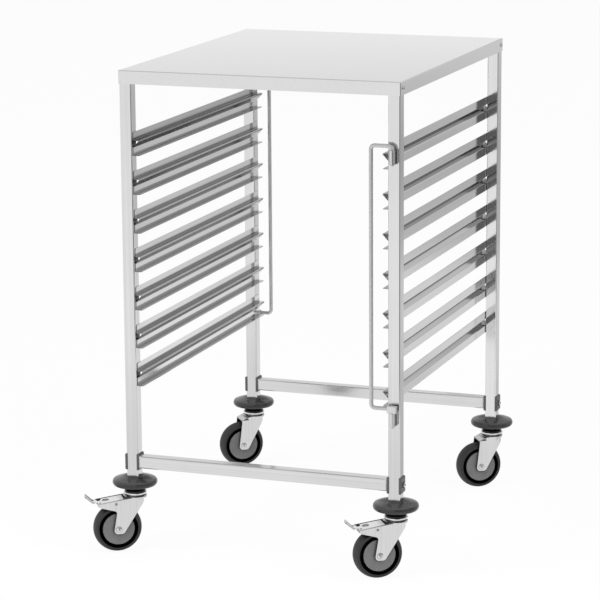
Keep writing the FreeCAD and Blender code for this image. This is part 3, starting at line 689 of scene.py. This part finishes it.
def dress_casters():
    """Bumpers, swivels, forks, wheels and brakes."""
    bumper_rubber = moulded("bumper_rubber", BUMPER_FINISH, [shade_beside_post, shade_under_rim])
    dress(bumper_rubber, *["bumper_" + corner for corner in CORNERS])
    dress(steel("stem_zinc", STEM_FINISH), "caster_stems")
    dress(steel("cup_chrome", CUP_FINISH, NARROW), "swivel_cups")
    dress(moulded("seal_rubber", SEAL_FINISH), "swivel_seals")
    for corner in CORNERS:
        dress_caster(corner)


# Details of the brake pedals

def level_frame(corner):
    """The frame of a braked caster, from the foot of its swivel axis along its trail."""
    post = Vector(joints["swivel_" + corner]["pos_m"])
    trail = Vector(joints["roll_" + corner]["pos_m"]) - post
    trail.z = 0.0
    trail.normalize()
    up = Vector(UP)
    turn = Matrix((trail, up.cross(trail), up)).transposed().to_4x4()
    return Matrix.Translation((post.x, post.y, 0.0)) @ turn


def top_of_pedal(corner, along, across):
    """The point and the normal of a pedal's upper face, seen from above."""
    above = level_frame(corner) @ Vector((along, across, LOOKOUT_HEIGHT))
    _, point, normal, _ = nodes["brake_pedal_" + corner].ray_cast(above, DOWN)
    return point, normal


def on_plate(corner, place):
    """The frame of a place on a pedal's sloping plate."""
    point, normal = top_of_pedal(corner, PLATE_MIDDLE, 0.0)
    trail = level_frame(corner).col[0].to_3d()
    along = (trail - normal * trail.dot(normal)).normalized()
    turn = Matrix((along, normal.cross(along), normal)).transposed().to_4x4()
    return Matrix.Translation(point) @ turn @ Matrix.Translation((place[0] - PLATE_MIDDLE, place[1], 0.0))


def ringed_mesh(name, rings):
    """A closed mesh through rings of points, capped on its first and last ring."""
    build = bmesh.new()
    loops = [[build.verts.new(point) for point in ring] for ring in rings]
    for low, high in zip(loops, loops[1:]):
        for step in range(len(low)):
            build.faces.new((low[step - 1], low[step], high[step], high[step - 1]))
    build.faces.new(loops[0][::-1])
    build.faces.new(loops[-1])
    bmesh.ops.recalc_face_normals(build, faces=build.faces)
    mesh = bpy.data.meshes.new(name)
    build.to_mesh(mesh)
    build.free()
    return mesh


def oval(half_length, half_width, height):
    """Points round an oval at one height."""
    angles = [2 * math.pi * step / ROUND_STEPS for step in range(ROUND_STEPS)]
    return [(half_length * math.cos(angle), half_width * math.sin(angle), height) for angle in angles]


def pedal_ridge(name):
    """An oval ridge pressed up from a pedal's plate."""
    rings = []
    for step in range(RIDGE_STEPS + 1):
        turn = math.pi * step / RIDGE_STEPS
        inward = RIDGE_RADIUS * (1 - math.cos(turn))
        height = RIDGE_RADIUS * math.sin(turn)
        rings.append(oval(RIDGE_HALF_LENGTH - inward, RIDGE_HALF_WIDTH - inward, height))
    return ringed_mesh(name, rings)


def pedal_shade_spot(name):
    """A round dark piece with a dimple on a pedal's plate, which stands in for the shade near its toe."""
    return ringed_mesh(name, [oval(radius, radius, height) for radius, height in SHADE_SPOT_PROFILE])


def pedal_shade_block(name):
    """A dark block under a pedal's toe, with eased ends, which stands in for the shade in the mouth of
    its skirt.
    """
    eased = BLOCK_HALF - BLOCK_EDGE
    end_shrink = 1 - BLOCK_EDGE / BLOCK_HALF
    stations = ((-BLOCK_HALF, end_shrink), (-eased, 1.0), (eased, 1.0), (BLOCK_HALF, end_shrink))
    rings = []
    for across, shrink in stations:
        rings.append([(along * shrink, across, height) for along, height in BLOCK_SECTION])
    return ringed_mesh(name, rings)


def rim_outline(inset):
    """Points along the sides and round the tip of a pedal's tongue, in plan."""
    half = RIM_HALF - inset
    bend = RIM_ROUND - inset
    side = [(RIM_START + (RIM_TURN - RIM_START) * step / RIM_STEPS, -half) for step in range(RIM_STEPS)]
    for step in range(RIM_STEPS + 1):
        turn = math.pi / 2 * step / RIM_STEPS
        side.append((RIM_TURN + bend * math.sin(turn), bend * (1 - math.cos(turn)) - half))
    return side + [(along, -across) for along, across in side[::-1]]


def pedal_rim(name, corner):
    """The turned-up edge round a pedal's tongue, low at its root."""
    span = RIM_TURN + RIM_ROUND - RIM_START
    sections = []
    for outer, inner in zip(rim_outline(0.0), rim_outline(RIM_WALL)):
        base = top_of_pedal(corner, *inner)[0].z - RIM_SINK
        top = base + RIM_HEIGHT * max(math.sqrt((outer[0] - RIM_START) / span), RIM_ROOT_SHARE)
        sections.append([(*outer, base), (*outer, top), (*inner, top), (*inner, base)])
    return ringed_mesh(name, sections)


def add_piece(mesh, place, material, body, smooth=True):
    """Put a mesh in the scene on a moving body, with smooth or flat sides."""
    for face in mesh.polygons:
        face.use_smooth = smooth and len(face.vertices) == 4
    mesh.transform(place)
    mesh.materials.append(material)
    piece = bpy.data.objects.new(mesh.name, mesh)
    bpy.context.collection.objects.link(piece)
    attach(piece, body)


def add_pedal_marks():
    """The pressed ridge and tongue rim of each pedal, with a dark spot and a toe block that stand in for
    shade.
    """
    ridge_steel = steel("ridge_shaded_zinc", RIDGE_SHADE_FINISH)
    rim_steel = steel("rim_zinc", RIM_FINISH)
    shade_stand_in = moulded("shade_stand_in", SHADE_PIECE_FINISH)
    for corner in BRAKED:
        body = "pedal_" + corner
        ridge = pedal_ridge("pedal_ridge_" + corner)
        # A dark spot and a dark block at the toe, which stand in for its shade
        stop = pedal_shade_spot("pedal_shade_spot_" + corner)
        block = pedal_shade_block("pedal_shade_block_" + corner)
        rim = pedal_rim("pedal_rim_" + corner, corner)
        add_piece(ridge, on_plate(corner, RIDGE_PLACE), ridge_steel, body)
        add_piece(stop, on_plate(corner, SHADE_SPOT_PLACE), shade_stand_in, body)
        add_piece(block, on_plate(corner, BLOCK_PLACE), shade_stand_in, body, False)
        add_piece(rim, level_frame(corner), rim_steel, body, False)


# Floor, light and camera

def seen_plainly(tree):
    """One for rays from the camera, a reflection or clear glass, and zero for rays that only light."""
    path = tree.nodes.new("ShaderNodeLightPath")
    value = larger(tree, path.outputs["Is Camera Ray"], path.outputs["Is Glossy Ray"])
    return larger(tree, value, path.outputs["Is Transmission Ray"])


def glowing(tree):
    """A plain emission, white until its colour is linked."""
    glow = tree.nodes.new("ShaderNodeEmission")
    glow.inputs["Color"].default_value = WHITE
    glow.inputs["Strength"].default_value = 1.0
    return glow


def make_floor():
    """A wide pale floor that looks white and keeps a faint shadow."""
    bpy.ops.mesh.primitive_plane_add(size=FLOOR_SIZE, location=(0, 0, 0))
    floor = bpy.context.object
    floor.name = "floor"
    material, tree, shader = new_material("floor_paper")
    shader.inputs["Base Color"].default_value = grey(FLOOR_TONE)
    shader.inputs["Roughness"].default_value = 1.0
    shader.inputs["Specular IOR Level"].default_value = 0.0
    mix = tree.nodes.new("ShaderNodeMixShader")
    share = ranged(tree, seen_plainly(tree), 0.0, FLOOR_WHITENESS, 0.0, 1.0)
    tree.links.new(share, mix.inputs["Fac"])
    tree.links.new(shader.outputs["BSDF"], mix.inputs[1])
    tree.links.new(glowing(tree).outputs["Emission"], mix.inputs[2])
    tree.links.new(mix.outputs["Shader"], tree.nodes["Material Output"].inputs["Surface"])
    floor.data.materials.append(material)


def make_world():
    """A white room that polished surfaces see graded from the horizon up."""
    world = bpy.data.worlds.new("studio")
    bpy.context.scene.world = world
    world.use_nodes = True
    tree = world.node_tree
    background = tree.nodes["Background"]
    room = graded(tree, height_of(tree, "Generated"), ROOM_TONES)
    path = tree.nodes.new("ShaderNodeLightPath")
    mix = tree.nodes.new("ShaderNodeMix")
    mix.data_type = "RGBA"
    mix.inputs["A"].default_value = WHITE
    tree.links.new(path.outputs["Is Glossy Ray"], mix.inputs["Factor"])
    tree.links.new(room, mix.inputs["B"])
    tree.links.new(mix.outputs["Result"], background.inputs["Color"])
    strength = ranged(tree, seen_plainly(tree), ROOM_LIGHT, 1.0, 0.0, 1.0)
    tree.links.new(strength, background.inputs["Strength"])


def upright(start, end, low, high):
    """The corners of an upright board over a line on the floor."""
    return [(*start, low), (*end, low), (*end, high), (*start, high)]


def make_board(name, corners, tones):
    """A grey board beside the set that only polished surfaces show, graded by height in metres."""
    mesh = bpy.data.meshes.new(name)
    mesh.from_pydata(corners, [], [(0, 1, 2, 3)])
    board = bpy.data.objects.new(name, mesh)
    bpy.context.collection.objects.link(board)
    material, tree, _ = new_material(name)
    height = ranged(tree, height_of(tree, "Object"), 0.0, 1.0, 0.0, BOARD_TOP)
    tone = graded(tree, height, [(level / BOARD_TOP, value) for level, value in tones])
    glow = glowing(tree)
    tree.links.new(tone, glow.inputs["Color"])
    tree.links.new(glow.outputs["Emission"], tree.nodes["Material Output"].inputs["Surface"])
    mesh.materials.append(material)
    board.visible_camera = False
    board.visible_diffuse = False
    board.visible_shadow = False


def make_boards():
    """Boards behind, in front and on the right, and a card on the floor."""
    rear_left = (REAR_LEFT_X, REAR_Y)
    upper_left = (UPPER_LEFT_X, REAR_Y)
    rear_middle = (REAR_MIDDLE_X, REAR_Y)
    rear_right = (REAR_RIGHT_X, REAR_Y)
    make_board("rear_left_board", upright(rear_left, rear_middle, 0.0, LOW_TOP), LEFT_TONES)
    make_board("upper_left_board", upright(upper_left, rear_middle, LOW_TOP, BOARD_TOP), LEFT_TONES)
    make_board("rear_right_board", upright(rear_middle, rear_right, 0.0, BOARD_TOP), RIGHT_TONES)
    card = [
        (REAR_MIDDLE_X, CARD_FRONT_Y, CARD_HEIGHT),
        (CARD_RIGHT_X, CARD_FRONT_Y, CARD_HEIGHT),
        (CARD_RIGHT_X, REAR_Y, CARD_HEIGHT),
        (REAR_MIDDLE_X, REAR_Y, CARD_HEIGHT),
    ]
    make_board("floor_card", card, CARD_TONES)
    make_board("front_board", upright(FRONT_START, FRONT_END, 0.0, BOARD_TOP), FRONT_TONES)
    make_board("side_board", upright(FRONT_END, SIDE_END, 0.0, SIDE_TOP), SIDE_TONES)


def make_lamp(name, place, size, power):
    """A soft square lamp that looks at the middle of the object."""
    data = bpy.data.lights.new(name, "AREA")
    data.energy = power
    data.size = size
    lamp = bpy.data.objects.new(name, data)
    bpy.context.collection.objects.link(lamp)
    lamp.location = place
    lamp.rotation_euler = (Vector(LAMP_AIM) - Vector(place)).to_track_quat("-Z", "Y").to_euler()
    lamp.visible_glossy = False


def make_camera():
    """The camera of the photographed view."""
    data = bpy.data.cameras.new("camera")
    data.lens = CAMERA_LENS
    data.sensor_width = SENSOR_WIDTH
    camera = bpy.data.objects.new("camera", data)
    bpy.context.collection.objects.link(camera)
    turn = Matrix.Rotation(math.radians(CAMERA_YAW), 4, "Z")
    tilt = Matrix.Rotation(math.radians(90.0 - CAMERA_PITCH), 4, "X")
    roll = Matrix.Rotation(math.radians(CAMERA_ROLL), 4, "Z")
    camera.matrix_world = Matrix.Translation(CAMERA_PLACE) @ turn @ tilt @ roll
    bpy.context.scene.camera = camera


dress_frame()
dress_casters()
add_pedal_marks()
make_floor()
make_world()
make_boards()
make_lamp("key_lamp", KEY_PLACE, KEY_SIZE, KEY_POWER)
make_lamp("fill_lamp", FILL_PLACE, FILL_SIZE, FILL_POWER)
make_camera()
bpy.context.scene.view_settings.view_transform = "Standard"
